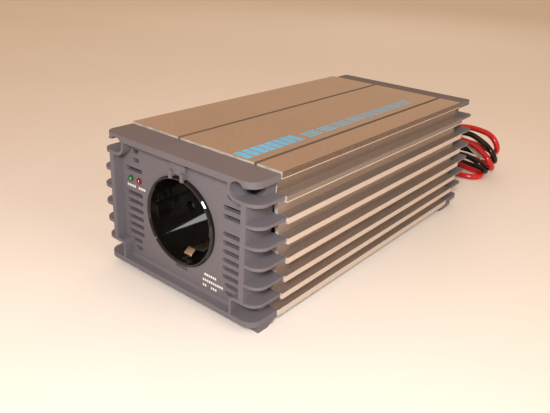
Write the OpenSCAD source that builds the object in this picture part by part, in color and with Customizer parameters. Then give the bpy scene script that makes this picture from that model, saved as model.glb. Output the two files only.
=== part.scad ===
// Compact DC to AC power inverter: finned aluminium housing, moulded end caps,
// recessed earthed AC outlet at the front, fan, switch and DC leads at the rear.
// Millimetres. +Z up, outlet faces -Y. Origin: centre of the footprint, on the
// plane that the feet stand on.

/* [Housing] */
// Length of the finned aluminium profile
body_len = 176; // [150:1:200]
// Half width over the widest fins
half_w = 52.9; // [52.9:0.1:54]
// How much the fin outline curves in at the upper and lower fins
bow = 2.17; // [1.5:0.01:2.5]
// Half width of the flat top plate
top_half = 47.4; // [47:0.1:48]
// Height of the top surface above the ground
body_top = 72; // [72:0.1:73]
// Vertical distance between neighbouring fins
fin_pitch = 9.2; // [9.2:0.1:9.2]
// Height of the lip that hangs from each fin
lip_h = 2.8; // [2.4:0.1:3]
// Thickness of a fin
fin_t = 1.3; // [1.1:0.1:1.6]
// Position of the left decorative groove
groove_l = -13.4; // [-16:0.1:-10]
// Position of the right decorative groove
groove_r = 33.1; // [30:0.1:36]

/* [End caps] */
// Depth of each moulded end cap
cap_depth = 17; // [17:1:18]
// Height of the feet under the caps
foot_h = 4.2; // [4.2:0.1:4.2]
// How far the panel sits behind the cap's rim
recess = 5.2; // [4.5:0.1:5.4]
// Thickness of the cap's panel
panel_t = 2.4; // [2:0.1:2.6]
// Corner radius of the front cap's fins
front_r = 6; // [4:0.5:7]
// Corner radius of the rear cap's fins
rear_r = 1.6; // [1:0.1:3]

/* [AC outlet] */
// Radius of the outlet's recess
outlet_r = 20; // [19.6:0.1:20.2]
// Depth of the outlet's recess
outlet_depth = 17.5; // [17:0.5:18]
// Height of the outlet's centre
outlet_z = 37.7; // [37:0.1:38.5]
// Distance between the two contact holes
contact_pitch = 19; // [19:0.1:19]

/* [Rear] */
// Fan size
fan = 40; // [40:1:40]
// Fan centre across the panel
fan_x = -16; // [-17:0.5:-15]
// Diameter of each DC lead
lead_d = 4.2; // [3.6:0.1:4.4]
// Rocker tilt either side of the middle
rocker_tilt = 9; // [6:0.5:10]

/* [Hidden] */

half_l = body_len / 2;
bot = foot_h;                       // underside of the lowest fin lip
fin_top = [for (k = [0:6]) bot + lip_h + fin_pitch * (6 - k)];
bow_z = 35.3;                       // height of the widest point
function fin_x(z) = half_w - bow * pow((z - bow_z) / 24.6, 2);
function wall_x(z) = fin_x(z) - 5.3;
panel_d = cap_depth - recess;       // panel face, measured from the profile's end
front_panel_y = -half_l - panel_d;
rear_panel_y = half_l + panel_d;
screw_x = 39.3;
screw_zt = 65.1;
screw_zb = 10.6;
board_z = 15.4;                     // underside of the main board
board_t = 1.6;
clamp_y = [-23.5, 10.5, 44.5];      // screws of the transistor clamp bars
top_b = board_z + board_t;          // top of the main board
eps = 0.01;

// ---------- helpers ----------
module both() { children(); mirror([1, 0, 0]) children(); }

// a flat shape in X and Z, given thickness along Y from y0 to y1
module slab(y0, y1) {
  translate([0, y1, 0]) rotate([90, 0, 0]) linear_extrude(y1 - y0) children();
}

// axis along Y
module ycyl(r, y0, y1, x = 0, z = 0, fn = 48) {
  translate([x, y1, z]) rotate([90, 0, 0]) cylinder(r = r, h = y1 - y0, $fn = fn);
}
module ycone(r0, r1, y0, y1, x = 0, z = 0, fn = 48) {
  translate([x, y0, z]) rotate([-90, 0, 0]) cylinder(r1 = r0, r2 = r1, h = y1 - y0, $fn = fn);
}
module box(x0, x1, y0, y1, z0, z1) {
  translate([x0, y0, z0]) cube([x1 - x0, y1 - y0, z1 - z0]);
}

function unit(v) = v / norm(v);
function spline(a, b, c, d, t) = 0.5 * (2 * b + (c - a) * t
  + (2 * a - 5 * b + 4 * c - d) * t * t + (3 * b - a - 3 * c + d) * t * t * t);
function smooth(p, n) = [for (i = [0:len(p) - 2]) for (j = [0:n - 1])
  spline(p[max(i - 1, 0)], p[i], p[i + 1], p[min(i + 2, len(p) - 1)], j / n),
  p[len(p) - 1]];

// round tube swept along a list of points
module tube(path, r, ref = [0, 0, 1], sides = 8) {
  n = len(path);
  t = [for (i = [0:n - 1]) unit(path[min(i + 1, n - 1)] - path[max(i - 1, 0)])];
  u = [for (i = [0:n - 1]) unit(cross(t[i], ref))];
  v = [for (i = [0:n - 1]) cross(u[i], t[i])];
  polyhedron(
    points = [for (i = [0:n - 1]) for (k = [0:sides - 1])
      path[i] + r * (cos(360 * k / sides) * u[i] + sin(360 * k / sides) * v[i])],
    faces = concat(
      [[for (k = [0:sides - 1]) k]],
      [for (i = [0:n - 2]) for (k = [0:sides - 1])
        [i * sides + k, (i + 1) * sides + k,
         (i + 1) * sides + (k + 1) % sides, i * sides + (k + 1) % sides]],
      [[for (k = [sides - 1:-1:0]) (n - 1) * sides + k]]));
}

// rounded slot outline in X and Z
module slot2(x0, x1, zc, h) {
  r = h / 2;
  translate([x0 + r, zc - r]) square([x1 - x0 - h, h]);
  translate([x0 + r, zc]) circle(r = r, $fn = 24);
  translate([x1 - r, zc]) circle(r = r, $fn = 24);
}

// ---------- housing ----------
// right half of the finned outline, from the middle of the top downwards
shell_right = concat(
  [[0, body_top], [groove_r - 0.75, body_top], [groove_r - 0.75, body_top - 1],
   [groove_r + 0.75, body_top - 1], [groove_r + 0.75, body_top],
   [top_half, body_top], [top_half, body_top - 3.3], [top_half - 1.3, body_top - 3.3],
   [wall_x(fin_top[0]) + 0.3, body_top - 4.2]],
  [for (k = [0:6]) let (z = fin_top[k], x = fin_x(z - 1.4))
    each concat([[wall_x(z) , z], [x, z], [x, z - lip_h]],
      k < 6 ? [[x - 1.2, z - lip_h], [x - 1.2, z - fin_t], [wall_x(z), z - fin_t]]
            : [[40.5, z - lip_h]])],
  [[40.5, bot + 1.8], [wall_x(fin_top[6]) - 1.9, bot + 1.8],
   [wall_x(fin_top[6]) - 1.9, fin_top[6] + 1]],
  [for (k = [5:-1:0]) [wall_x(fin_top[k]) - 1.9, fin_top[k]]],
  [[43.1, body_top - 2.2], [0, body_top - 2.2]]);

// left half: the same, with its groove in another place
shell_left = [for (p = shell_right)
  [-(abs(p[0] - groove_r) < 0.8 ? p[0] - groove_r - groove_l : p[0]), p[1]]];

module housing_shell() color("tan") difference() {
  union() {
    slab(-half_l, half_l) polygon(shell_right);
    slab(-half_l, half_l) polygon(shell_left);
    // screw channels in the four corners
    both() {
      ycyl(3, -half_l, half_l, screw_x, screw_zt);
      box(screw_x, 43.4, -half_l, half_l, screw_zt - 1, screw_zt + 1);
      box(screw_x - 1, screw_x + 1, -half_l, half_l, screw_zt, body_top - 2);
      ycyl(3, -half_l, half_l, screw_x, screw_zb);
      box(screw_x, 43.6, -half_l, half_l, screw_zb - 1, screw_zb + 1);
      // rails that hold the board
      box(41.4, 44.2, -half_l, half_l, board_z - 1.2, board_z - 0.2);
      box(41.4, 44.4, -half_l, half_l, top_b + 0.2, top_b + 1.2);
      // flat land that the power transistors are pressed against
      box(41.3, 46, -half_l, half_l, top_b + 3, top_b + 20.5);
    }
  }
  both() {
    ycyl(1.5, -half_l - 1, half_l + 1, screw_x, screw_zt);
    ycyl(1.5, -half_l - 1, half_l + 1, screw_x, screw_zb);
    for (y = clamp_y) translate([0, y, top_b + 8.5]) rotate([0, 90, 0])
      translate([0, 0, 41]) cylinder(r = 1.5, h = 4.3, $fn = 24);
    // holes for the base plate's screws
    for (y = [-70, 0, 70]) translate([42.6, y, bot - 1]) cylinder(r = 1.25, h = 3.4, $fn = 24);
  }
}

module base_plate() color("silver") difference() {
  box(-49.2, 49.2, -half_l, half_l, bot - 1.2, bot);
  both() for (y = [-70, 0, 70]) {
    translate([42.6, y, bot - 2]) cylinder(r = 1.6, h = 3, $fn = 24);
    translate([42.6, y, bot - 1.21]) cylinder(r1 = 2.8, r2 = 1.6, h = 0.9, $fn = 24);
  }
  // vents under the board
  for (x = [-24:8:24], y = [-40, 40]) translate([x, y, bot - 2]) {
    translate([-1, -9, 0]) cube([2, 18, 3]);
    translate([0, -9, 0]) cylinder(r = 1, h = 3, $fn = 24);
    translate([0, 9, 0]) cylinder(r = 1, h = 3, $fn = 24);
  }
}

module base_screws() color("dimgray") both() for (y = [-70, 0, 70])
  translate([42.6, y, bot - 1.2]) {
    cylinder(r1 = 2.7, r2 = 1.15, h = 1.2, $fn = 24);
    cylinder(r = 1.15, h = 3.4, $fn = 24);
  }

// ---------- end caps: d runs from the profile's end (0) to the rim (cap_depth) ----------
// plan of a fin, flange or rim, with rounded outer corners
module plan(xh, r, d0 = 0) {
  translate([-xh, d0]) square([2 * xh, cap_depth - r - d0]);
  translate([-xh + r, d0]) square([2 * (xh - r), cap_depth - d0]);
  translate([-xh + r, cap_depth - r]) circle(r = r, $fn = 48);
  translate([xh - r, cap_depth - r]) circle(r = r, $fn = 48);
}
module layer(z0, z1, xh, r, d0 = 0) { translate([0, 0, z0]) linear_extrude(z1 - z0) plan(xh, r, d0); }

wall_i = 40.7;                      // inner face of the cap's side wall
wall_o = 43.5;                      // outer face
pocket_t = 34.4;                    // inner face of an upper corner pocket
pocket_b = 36.7;                    // inner face of a lower corner pocket
boss_d = 6.6;                       // face that the cap screws bear on

// outline of the pocket blocks, in X and Z, right side
module pocket_block_t() {
  translate([pocket_t - 1.2 + 5, fin_top[0] - 1.5]) square([wall_o - pocket_t - 3.8, body_top - 4 - fin_top[0] + 1.5]);
  translate([pocket_t - 1.2, fin_top[0] - 1.5 + 5]) square([6, body_top - 4 - fin_top[0] - 3.5]);
  translate([pocket_t - 1.2 + 5, fin_top[0] - 1.5 + 5]) circle(r = 5, $fn = 48);
}
module pocket_hole_t() {
  translate([pocket_t + 3.8, fin_top[0]]) square([20, body_top - 4 - fin_top[0]]);
  translate([pocket_t, fin_top[0] + 3.8]) square([6, body_top - 4 - fin_top[0] - 3.8]);
  translate([pocket_t + 3.8, fin_top[0] + 3.8]) circle(r = 3.8, $fn = 48);
}
module pocket_block_b() {
  translate([pocket_b - 1.2, bot + lip_h - 1]) square([wall_o - pocket_b + 1.2, fin_top[5] - bot - lip_h - 1.7]);
  translate([pocket_b - 1.2 + 2.7, fin_top[5] - 3]) square([wall_o - pocket_b - 1.5, 3]);
  translate([pocket_b - 1.2 + 2.7, fin_top[5] - 2.7]) circle(r = 2.7, $fn = 48);
}
module pocket_hole_b() {
  translate([pocket_b, bot + lip_h]) square([20, fin_top[5] - 1.5 - bot - lip_h - 1.5]);
  translate([pocket_b + 1.5, bot + lip_h]) square([20, fin_top[5] - 1.5 - bot - lip_h]);
  translate([pocket_b + 1.5, fin_top[5] - 3]) circle(r = 1.5, $fn = 48);
}

// foot: a low tapered block, standing from z = 0
module foot(y0, y1) {
  box(38.5, 49.3, y0, y1, 1.6, bot - 1.3);
  box(39, 48.9, y0 + 1.2, y1 - 1.2, 0.6, 2);
  box(39.8, 48.2, y0 + 2.4, y1 - 2.4, 0, 1.2);
}

module cap_frame(r) difference() {
  union() {
    layer(body_top - 4, body_top - 1, top_half - 0.4, min(r, 6));           // top flange
    layer(bot, bot + lip_h, fin_x(bot + 1.4) - 0.6, r);              // bottom flange
    difference() {
      union() for (k = [0:5]) layer(fin_top[k] - 1.5, fin_top[k], fin_x(fin_top[k] - 1.4) - 1, r);
      translate([-wall_i, -1, 0]) cube([2 * wall_i, cap_depth + 2, body_top]);
    }
    both() {
      box(wall_i, wall_o, 0, cap_depth, bot + lip_h - 0.5, body_top - 3.5);
      slab(0, cap_depth) pocket_block_t();
      slab(0, cap_depth) pocket_block_b();
      box(pocket_t, 44.5, 0, boss_d, fin_top[0] - 0.5, body_top - 3.5);
      box(pocket_b, 44.5, 0, boss_d, bot + lip_h - 0.5, fin_top[5] - 1);
    }
    // panel, with a small cove along its lower edge
    box(-wall_i - 0.5, wall_i + 0.5, panel_d - panel_t, panel_d, bot + lip_h - 0.5, body_top - 3.5);
    translate([-wall_i - 0.5, 0, 0]) rotate([90, 0, 90]) linear_extrude(2 * wall_i + 1)
      polygon([[panel_d - 0.5, bot + lip_h - 0.5], [panel_d + 1.6, bot + lip_h - 0.5],
        [panel_d + 1.6, bot + lip_h], [panel_d + 0.8, bot + lip_h + 0.25],
        [panel_d + 0.25, bot + lip_h + 0.8], [panel_d, bot + lip_h + 1.6], [panel_d - 0.5, bot + lip_h + 1.6]]);
  }
  both() {
    slab(boss_d, cap_depth + 1) pocket_hole_t();
    slab(boss_d, cap_depth + 1) pocket_hole_b();
    ycyl(1.7, -1, boss_d + 1, screw_x, screw_zt);
    ycyl(1.7, -1, boss_d + 1, screw_x, screw_zb);
  }
}

module front_place() { translate([0, -half_l, 0]) mirror([0, 1, 0]) children(); }
module rear_place() { translate([0, half_l, 0]) children(); }

// ventilation slots of the front panel, in X and Z
slot_z = [41.3, 37.1, 32.8, 28.6, 24.5, 20.4];
module front_slots() {
  both() for (z = [63.2, 58.9]) slot2(28.5, 33, z, 1.9);
  both() for (z = slot_z) slot2(26.5, 38.5, z, 2);
  both() slot2(28, 36.3, 16.3, 2);
  both() slot2(28.3, 33.5, 12.3, 2);
  mirror([1, 0, 0]) slot2(26.5, 38.5, 53.8, 2);
  slot2(26.5, 38.5, 53.8, 2);
  slot2(26.5, 38.5, 49.6, 2);
}

led_gx = -34.5;
led_rx = -28.5;
led_z = 49.0;
module front_cap() color("dimgray") difference() {
  union() {
    front_place() cap_frame(front_r);
    both() box(39.2, 48.9, -half_l - 11.6, -half_l - 0.6, 0, bot + 0.2);
    // hood over the outlet with two small teeth
    box(-4.6, 4.6, front_panel_y - 1.6, front_panel_y + 1, outlet_z + 23, body_top - 3.5);
    both() {
      box(2.8, 4.6, front_panel_y - 3, front_panel_y + 0.5, outlet_z + 21.85, outlet_z + 24.6);
      box(2.8, 4.6, front_panel_y - 3, front_panel_y - 2.1, outlet_z + 20.8, outlet_z + 23);
    }
  }
  both() translate([0, 0, -1]) linear_extrude(bot + 0.8) polygon([[49.6, -half_l - 14],
    [48.4, -half_l - 14], [48.4, -half_l - 3.8], [49.6, -half_l - 2]]);
  both() rotate([0, -90, 0]) translate([0, 0, -60]) linear_extrude(25) polygon([[-1, -half_l - 5],
    [0, -half_l - 5], [bot - 0.4, -half_l - 0.8], [bot - 0.4, -half_l + 1], [-1, -half_l + 1]]);
  slab(front_panel_y - 6, front_panel_y + panel_t + 1) front_slots();
  ycyl(outlet_r + 1.05, front_panel_y - 6, front_panel_y + panel_t + 1, 0, outlet_z, 96);
  ycyl(1.55, front_panel_y - 1, front_panel_y + panel_t + 1, led_gx, led_z, 32);
  ycyl(1.55, front_panel_y - 1, front_panel_y + panel_t + 1, led_rx, led_z, 32);
  // notch under the outlet
  box(-4, 4, front_panel_y - 1, front_panel_y + 1.4, outlet_z - outlet_r - 4.6, outlet_z - outlet_r);
}

fan_z = 37.7;
sw_x = 24;
sw_z = 47;
gr_x = 14;
gb_x = 27;
g_z = 17;
module grille() difference() {
  circle(r = 18.4, $fn = 72);
  for (r = [4.2, 9.4, 14.2]) difference() {
    circle(r = r + 1.5, $fn = 64);
    circle(r = r, $fn = 64);
  }
  circle(r = 3, $fn = 32);
  for (a = [45, 135]) rotate(a) translate([-19, -0.9]) square([38, 1.8]);
}
module rear_cap() color("dimgray") difference() {
  union() {
    rear_place() cap_frame(rear_r);
    both() {
      foot(half_l - 6.5, half_l + 8);
      box(38.5, 49.3, half_l + 0.2, half_l + 8, bot - 1.4, bot + 0.4);
    }
  }
  slab(rear_panel_y - panel_t - 1, rear_panel_y + 1) translate([fan_x, fan_z]) grille();
  for (x = [-16, 16], z = [-16, 16]) ycyl(1.7, rear_panel_y - 5, rear_panel_y + 1, fan_x + x, fan_z + z, 32);
  box(sw_x - 6.6, sw_x + 6.6, rear_panel_y - 5, rear_panel_y + 1, sw_z - 9.6, sw_z + 9.6);
  ycyl(4.05, rear_panel_y - 5, rear_panel_y + 1, gr_x, g_z);
  ycyl(4.05, rear_panel_y - 5, rear_panel_y + 1, gb_x, g_z);
}

// cap screw, head towards the rim, in cap coordinates
module cap_screw(x, z) difference() {
  union() {
    ycyl(1.45, -9, boss_d + 1, x, z, 32);
    ycyl(2.6, boss_d, boss_d + 1.9, x, z, 32);
  }
  box(x - 0.4, x + 0.4, boss_d + 0.9, boss_d + 3, z - 1.8, z + 1.8);
  box(x - 1.8, x + 1.8, boss_d + 0.9, boss_d + 3, z - 0.4, z + 0.4);
}
module cap_screws() both() { cap_screw(screw_x, screw_zt); cap_screw(screw_x, screw_zb); }
module front_cap_screws() color("dimgray") front_place() cap_screws();
module rear_cap_screws() color("dimgray") rear_place() cap_screws();

// ---------- AC outlet ----------
ring_y = front_panel_y - 2;         // front face of the outlet's ring
floor_y = ring_y + outlet_depth;    // bottom of the recess
floor_t = 2.5;
module at_outlet() { translate([0, ring_y, outlet_z]) rotate([-90, 0, 0]) children(); }

module outlet_cup() color("black") difference() {
  union() {
    at_outlet() rotate_extrude($fn = 96) polygon([[outlet_r, 0.9], [outlet_r + 0.6, 0],
      [outlet_r + 1.2, 0], [outlet_r + 1.75, 0.6], [outlet_r + 1.75, 2], [outlet_r + 1, 2],
      [outlet_r + 1, outlet_depth + floor_t], [0, outlet_depth + floor_t],
      [0, outlet_depth], [outlet_r, outlet_depth]]);
    // flats and guide ribs left and right
    both() intersection() {
      ycyl(outlet_r + 0.5, ring_y + 1.2, floor_y + 0.5, 0, outlet_z, 96);
      union() {
        box(outlet_r - 1.3, outlet_r + 1, ring_y + 5, floor_y + 0.5, outlet_z - 8, outlet_z + 8);
        box(outlet_r - 3, outlet_r + 1, ring_y + 3, floor_y + 0.5, outlet_z - 2.4, outlet_z + 2.4);
      }
    }
    // raised island around the contact holes
    both() ycyl(4.6, floor_y - 0.7, floor_y + 0.2, contact_pitch / 2, outlet_z);
  }
  both() ycyl(2.6, floor_y - 2, floor_y + floor_t + 1, contact_pitch / 2, outlet_z);
  // slots that the earth clip's fingers come through
  for (s = [-1, 1]) box(-3.1, 3.1, floor_y - 0.5, floor_y + floor_t + 1,
    outlet_z + s * 17.9 - 1.9, outlet_z + s * 17.9 + 1.9);
}

// the clip's two fingers, bowed inwards near their tips
module earth_finger() {
  translate([-2.4, 0, 0]) rotate([90, 0, 90]) linear_extrude(4.8) polygon([
    [floor_y + floor_t + 1.5, 18.9], [floor_y - 4, 19.4], [floor_y - 8.5, 17.2], [floor_y - 11.5, 19.2],
    [floor_y - 11.9, 18.5], [floor_y - 8.6, 16.2], [floor_y - 4, 18.4], [floor_y - 1, 17.9], [floor_y + floor_t + 1.5, 17.9]]);
}
module earth_clip() color("peru") translate([0, 0, outlet_z]) {
  earth_finger();
  mirror([0, 0, 1]) earth_finger();
  box(-2.4, 2.4, floor_y + floor_t + 0.7, floor_y + floor_t + 1.5, -18.9, 18.9);
}

module outlet_carrier() color("gray") difference() {
  ycyl(16.5, floor_y + floor_t + 1.7, floor_y + floor_t + 9, 0, outlet_z, 64);
  both() ycyl(3.8, floor_y + floor_t, floor_y + floor_t + 10, contact_pitch / 2, outlet_z);
}

module outlet_contacts() color("goldenrod") both() {
  difference() {
    ycyl(3.6, floor_y + floor_t + 1.9, floor_y + floor_t + 12, contact_pitch / 2, outlet_z);
    ycyl(2.8, floor_y + floor_t + 1, floor_y + floor_t + 11, contact_pitch / 2, outlet_z);
  }
  box(contact_pitch / 2 - 1.6, contact_pitch / 2 + 1.6, floor_y + floor_t + 11.5, floor_y + floor_t + 17,
    outlet_z - 0.4, outlet_z + 0.4);
}

module outlet_rear_cover() color("dimgray") difference() {
  ycyl(20.6, floor_y + floor_t + 0.1, floor_y + floor_t + 10.9, 0, outlet_z, 64);
  ycyl(19.4, floor_y + floor_t, floor_y + floor_t + 9.4, 0, outlet_z, 64);
  both() ycyl(3.9, floor_y + floor_t + 9, floor_y + floor_t + 12, contact_pitch / 2, outlet_z);
}

module led(x) {
  y = front_panel_y;
  ycyl(1.45, y - 0.3, y + 4.4, x, led_z, 32);
  intersection() {
    translate([x, y - 0.3, led_z]) sphere(r = 1.45, $fn = 32);
    box(x - 2, x + 2, y - 3, y, led_z - 2, led_z + 2);
  }
  ycyl(1.8, y + panel_t + 0.1, y + 4.4, x, led_z, 32);
  for (s = [-1, 1]) box(x + s * 0.8 - 0.25, x + s * 0.8 + 0.25, y + 4.2, y + 8.2, led_z - 0.25, led_z + 0.25);
}
module led_green() color("green") led(led_gx);
module led_red() color("red") led(led_rx);

module led_board() color("darkgreen") difference() {
  box(-38.3, -24.6, front_panel_y + 6.2, front_panel_y + 7.6, 45.2, 57.2);
  for (x = [led_gx, led_rx], s = [-1, 1])
    ycyl(0.5, front_panel_y + 5, front_panel_y + 9, x + s * 0.8, led_z, 16);
}

// ---------- electronics ----------
bx = 43.0;
by = 80;
module main_board() color("darkgreen") difference() {
  box(-bx, bx, -by + 16, by - 8, board_z, top_b);
  for (x = [-30, 30], y = [-50, 60]) translate([x, y, board_z - 1]) cylinder(r = 1.6, h = 4, $fn = 24);
}
module board_insulator() color("ivory")
  box(-39.9, 39.9, -by + 16, by - 8, bot + 0.2, bot + 0.7);

tr_y = [-38, 4];
module transformer_cores() color("dimgray") for (y = tr_y) translate([0, y, top_b + 2]) {
  difference() {
    box(-17.5, 17.5, -5.2, 5.2, 0, 34);
    box(-12.2, -5.3, -6, 6, 5.2, 28.8);
    box(5.3, 12.2, -6, 6, 5.2, 28.8);
  }
}
module transformer_windings() color("gold") for (y = tr_y) translate([0, y, top_b]) {
  difference() {
    union() {
      box(-11.9, 11.9, -11.8, 11.8, 8.6, 29.6);
      box(-11.9, 11.9, -12.8, 12.8, 7.4, 8.6);
      box(-11.9, 11.9, -12.8, 12.8, 29.4, 30.6);
    }
    box(-5.5, 5.5, -5.4, 5.4, 0, 40);
  }
  // pins and feet of the former
  for (s = [-1, 1]) difference() {
    box(-11.9, 11.9, s * 9.3 - 2.7, s * 9.3 + 2.7, 0, 7.4);
    box(-9, 9, s * 9.3 - 4, s * 9.3 + 4, -1, 5);
  }
}

module cap_can(r, h) {
  cylinder(r = r, h = 1.4, $fn = 48);
  translate([0, 0, 1.4]) cylinder(r = r - 0.5, h = 1, $fn = 48);
  difference() {
    translate([0, 0, 2.4]) cylinder(r = r, h = h - 2.4, $fn = 48);
    for (a = [0, 90]) rotate(a) translate([-r + 1.5, -0.2, h - 0.4]) cube([2 * r - 3, 0.4, 1]);
  }
}
module input_capacitors() color("steelblue") for (x = [-14, 0, 14])
  translate([x, 58, top_b]) cap_can(6.3, 30);
module output_capacitor() color("midnightblue")
  translate([27, -50, top_b]) cap_can(9, 36);

// power transistors standing against the walls, held by a bar
tq_y = [-32, -15, 2, 19, 36, 53];
module transistor(y) {
  box(36.5, 41, y - 5, y + 5, top_b + 4, top_b + 13);
  box(39.7, 41, y - 5, y + 5, top_b + 12.5, top_b + 19.6);
  for (s = [-2.54, 0, 2.54]) box(38.2, 38.8, y + s - 0.4, y + s + 0.4, top_b, top_b + 4.5);
}
module transistors_right() color("black") for (y = tq_y) transistor(y);
module transistors_left() color("black") mirror([1, 0, 0]) for (y = tq_y) transistor(y);
module thermal_pads() color("lightblue") both() difference() {
  box(41, 41.3, -38, 59, top_b + 3.4, top_b + 20);
  for (y = clamp_y) translate([40, y, top_b + 8.5]) rotate([0, 90, 0]) cylinder(r = 1.6, h = 3, $fn = 24);
}
module clamp_bar_right() color("silver") difference() {
  box(34.2, 36.5, -37.5, 58.5, top_b + 5.5, top_b + 11.5);
  for (y = clamp_y) translate([30, y, top_b + 8.5]) rotate([0, 90, 0]) cylinder(r = 1.6, h = 10, $fn = 24);
}
module clamp_bar_left() color("silver") mirror([1, 0, 0]) clamp_bar_right();
module clamp_screws() color("dimgray") both() for (y = clamp_y)
  translate([0, y, top_b + 8.5]) rotate([0, 90, 0]) {
    translate([0, 0, 32.2]) cylinder(r = 2.6, h = 2, $fn = 32);
    translate([0, 0, 34]) cylinder(r = 1.45, h = 11, $fn = 32);
  }

module choke_core() color("yellow") translate([-27, -48.6, top_b + 0.6]) difference() {
  cylinder(r = 7.8, h = 7, $fn = 48);
  translate([0, 0, -1]) cylinder(r = 4.2, h = 9, $fn = 48);
}
module choke_winding() color("orangered") translate([-27, -48.6, top_b + 0.6]) difference() {
  union() for (a = [0:30:330]) rotate(a) translate([2.6, -0.75, -0.6]) cube([6.8, 1.5, 8.2]);
  cylinder(r = 7.9, h = 7, $fn = 48);
}

fu_y = [30, 42];
module fuse_sockets() color("dimgray") for (y = fu_y) difference() {
  box(-11, 11, y - 4, y + 4, top_b, top_b + 8);
  box(-9.7, 9.7, y - 2.7, y + 2.7, top_b + 1.2, top_b + 9);
}
module blade_fuses() color("orange") for (y = fu_y) {
  box(-9.4, 9.4, y - 2.4, y + 2.4, top_b + 7, top_b + 14);
  for (x = [-7.2, 4.2]) box(x, x + 3, y - 0.4, y + 0.4, top_b + 1.6, top_b + 7);
}

module control_board() color("darkgreen") box(-32, 12, -62.6, -61.2, top_b, top_b + 18);
module buzzer() color("black") translate([22, -22, top_b]) difference() {
  cylinder(r = 6, h = 8.5, $fn = 48);
  translate([0, 0, 7.5]) cylinder(r = 1.2, h = 2, $fn = 24);
}

// ---------- fan ----------
fan_y1 = rear_panel_y - panel_t;    // outer face of the fan frame
fan_y0 = fan_y1 - 10;
module at_fan() { translate([fan_x, 0, fan_z]) children(); }
module fan_frame() color("black") at_fan() difference() {
  union() {
    slab(fan_y0, fan_y1) difference() {
      translate([-fan / 2 + 2, -fan / 2]) square([fan - 4, fan]);
      circle(r = 18.4, $fn = 72);
    }
    both() box(fan / 2 - 2.01, fan / 2, fan_y0, fan_y1, -fan / 2 + 2, fan / 2 - 2);
    both() for (z = [-1, 1]) ycyl(2, fan_y0, fan_y1, fan / 2 - 2, z * (fan / 2 - 2), 32);
    ycyl(10.4, fan_y0, fan_y0 + 1.8, 0, 0, 64);
    for (a = [30, 150, 270]) rotate([0, a, 0]) box(8, 18.8, fan_y0, fan_y0 + 1.8, -1.1, 1.1);
  }
  for (x = [-16, 16], z = [-16, 16]) ycyl(1.6, fan_y0 - 1, fan_y1 + 1, x, z, 32);
  ycyl(1.55, fan_y0 - 1, fan_y0 + 3, 0, 0, 32);
}
module fan_rotor() color("black") at_fan() {
  ycyl(10, fan_y0 + 2.3, fan_y1 - 0.5, 0, 0, 64);
  ycyl(1.5, fan_y0 + 0.2, fan_y0 + 3, 0, 0, 32);
  intersection() {
    difference() {
      ycyl(17.7, fan_y0 + 2.6, fan_y1 - 0.7, 0, 0, 72);
      ycyl(9.8, fan_y0 + 2, fan_y1, 0, 0, 64);
    }
    union() for (a = [0:360 / 7:359]) rotate([0, a, 0]) translate([0, (fan_y0 + fan_y1) / 2 + 0.9, 0])
      rotate([38, 0, 0]) translate([8, -6, -0.5]) cube([12, 12, 1]);
  }
}
module fan_screws() color("dimgray") at_fan() for (x = [-16, 16], z = [-16, 16]) difference() {
  union() {
    ycyl(1.5, fan_y0 + 1, rear_panel_y + 0.5, x, z, 32);
    ycyl(2.8, rear_panel_y, rear_panel_y + 1.8, x, z, 32);
  }
  box(x - 0.4, x + 0.4, rear_panel_y + 0.9, rear_panel_y + 3, z - 1.9, z + 1.9);
  box(x - 1.9, x + 1.9, rear_panel_y + 0.9, rear_panel_y + 3, z - 0.4, z + 0.4);
}

// ---------- switch ----------
sw_py = rear_panel_y + 0.4;         // the rocker's pivot
module switch_body() color("black") translate([sw_x, 0, sw_z]) difference() {
  union() {
    box(-7.5, 7.5, rear_panel_y, rear_panel_y + 1.6, -10.5, 10.5);
    box(-6.5, 6.5, rear_panel_y - 15, rear_panel_y + 0.5, -9.5, 9.5);
  }
  box(-5.5, 5.5, rear_panel_y - 6.5, rear_panel_y + 2, -8.9, 8.9);
  translate([-6.2, sw_py, 0]) rotate([0, 90, 0]) cylinder(r = 1.05, h = 12.4, $fn = 32);
}
module switch_rocker() color("black") translate([sw_x, sw_py, sw_z]) rotate([-rocker_tilt, 0, 0]) {
  intersection() {
    translate([-5.2, 0, 0]) rotate([0, 90, 0]) cylinder(r = 8.5, h = 10.4, $fn = 64);
    translate([-5.2, 0, 0]) rotate([90, 0, 90]) linear_extrude(10.4)
      polygon([[-1.5, -9], [3.3, -9], [2.5, -5], [1.9, 0], [2.5, 5], [3.3, 9], [-1.5, 9], [-4, 2.5], [-4, -2.5]]);
  }
  translate([-6.1, 0, 0]) rotate([0, 90, 0]) cylinder(r = 1, h = 12.2, $fn = 32);
}
module switch_terminals() color("silver") translate([sw_x, 0, sw_z]) for (z = [-5, 2])
  box(-2.4, 2.4, rear_panel_y - 23, rear_panel_y - 15, z, z + 0.8);

// ---------- DC leads ----------
lead_r = lead_d / 2;
cone_l = 18;
g_end = rear_panel_y + 1.5 + cone_l;  // where a lead leaves its grommet
module grommet(x) {
  ycyl(5.2, rear_panel_y - panel_t - 1.4, rear_panel_y - panel_t, x, g_z);
  ycyl(4, rear_panel_y - panel_t - 0.5, rear_panel_y + 0.5, x, g_z);
  ycyl(5.4, rear_panel_y, rear_panel_y + 1.5, x, g_z);
  ycone(4.4, 2.8, rear_panel_y + 1.5, g_end, x, g_z);
}
module grommet_red() color("firebrick") grommet(gr_x);
module grommet_black() color("black") grommet(gb_x);

// from each grommet down to the ground and into the folded hank
near_y = 148;                       // near face of the hank
red_route = [[gr_x, g_end, g_z], [gr_x, 124, g_z], [gr_x, 129, 15.2], [gr_x, 134, 11],
  [gr_x, 138.5, 6.6], [gr_x, 142.5, 3.6], [gr_x, 145.5, 2.5], [gr_x, near_y - 0.8, 2.3]];
black_route = [[gb_x, g_end, g_z], [gb_x, 124, g_z], [gb_x, 129, 15.8], [gb_x, 134, 13],
  [gb_x, 138.5, 10], [gb_x, 142.5, 7.9], [gb_x, 145.5, 6.9], [gb_x, near_y - 0.8, 6.6]];
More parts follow.
